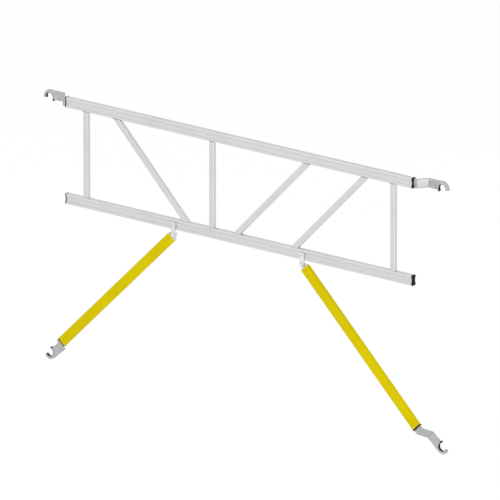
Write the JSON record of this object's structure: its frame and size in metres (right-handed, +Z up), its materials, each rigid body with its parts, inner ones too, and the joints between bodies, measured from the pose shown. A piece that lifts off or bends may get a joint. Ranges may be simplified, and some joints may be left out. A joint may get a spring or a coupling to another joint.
{
  "type": "frame scaffold section",
  "caption": "Lattice guardrail section for a scaffold tower: parallel chords with posts and braces, snap hooks at the ends and hinged yellow struts with hooks.",
  "frame": {"origin": "centre of the left upper hook's jaw, on the axis of the rung that it grips", "axes": "+X along the chords from the left hook to the right hook, +Y towards the back, where the hooks stand, +Z up"},
  "size_m": [2.5236, 0.0796, 1.4054],
  "materials": {
    "mill_aluminium": "mill finish extrusion",
    "cast_aluminium": "tumbled forging",
    "rivet_metal": "satin",
    "zinc_steel": "zinc plated",
    "black_plastic": "moulded matte",
    "grey_nylon": "smooth",
    "yellow_coating": "satin yellow powder coat"
  },
  "bodies": {
    "frame": {"top_chord": "mill_aluminium", "bottom_chord": "mill_aluminium", "post_left": "mill_aluminium", "post_middle": "mill_aluminium", "post_right": "mill_aluminium", "brace_left": "mill_aluminium", "brace_middle": "mill_aluminium", "brace_right": "mill_aluminium", "bottom_cap_left": "black_plastic", "bottom_cap_right": "black_plastic", "top_collar_left": "black_plastic", "top_collar_right": "black_plastic", "upper_hook_left": "cast_aluminium", "upper_hook_right": "cast_aluminium", "upper_liner_left": "black_plastic", "upper_liner_right": "black_plastic", "upper_rivets_left": "rivet_metal", "upper_rivets_right": "rivet_metal", "pivot_bracket_left": "cast_aluminium", "pivot_bracket_right": "cast_aluminium", "bracket_rivets_left": "rivet_metal", "bracket_rivets_right": "rivet_metal", "pivot_bolt_left": "zinc_steel", "pivot_bolt_right": "zinc_steel", "pivot_washer_left": "zinc_steel", "pivot_washer_right": "zinc_steel", "pivot_nut_left": "zinc_steel", "pivot_nut_right": "zinc_steel"},
    "left_strut": {"strut_tube_left": "yellow_coating", "strut_head_left": "cast_aluminium", "head_rivets_left": "yellow_coating", "pivot_bush_left": "grey_nylon", "strut_collar_left": "black_plastic", "lower_hook_left": "cast_aluminium", "lower_liner_left": "black_plastic", "lower_rivets_left": "yellow_coating"},
    "right_strut": {"strut_tube_right": "yellow_coating", "strut_head_right": "cast_aluminium", "head_rivets_right": "yellow_coating", "pivot_bush_right": "grey_nylon", "strut_collar_right": "black_plastic", "lower_hook_right": "cast_aluminium", "lower_liner_right": "black_plastic", "lower_rivets_right": "yellow_coating"}
  },
  "joints": [
    {"name": "left_strut_swing", "type": "hinge", "parent": "frame", "child": "left_strut", "pos_m": [0.823, -0.0537, -0.54], "axis": [0, 1, 0], "range_deg": [-60, 44.6]},
    {"name": "right_strut_swing", "type": "hinge", "parent": "frame", "child": "right_strut", "pos_m": [1.627, -0.0537, -0.54], "axis": [0, -1, 0], "range_deg": [-60, 44.6]}
  ]
}
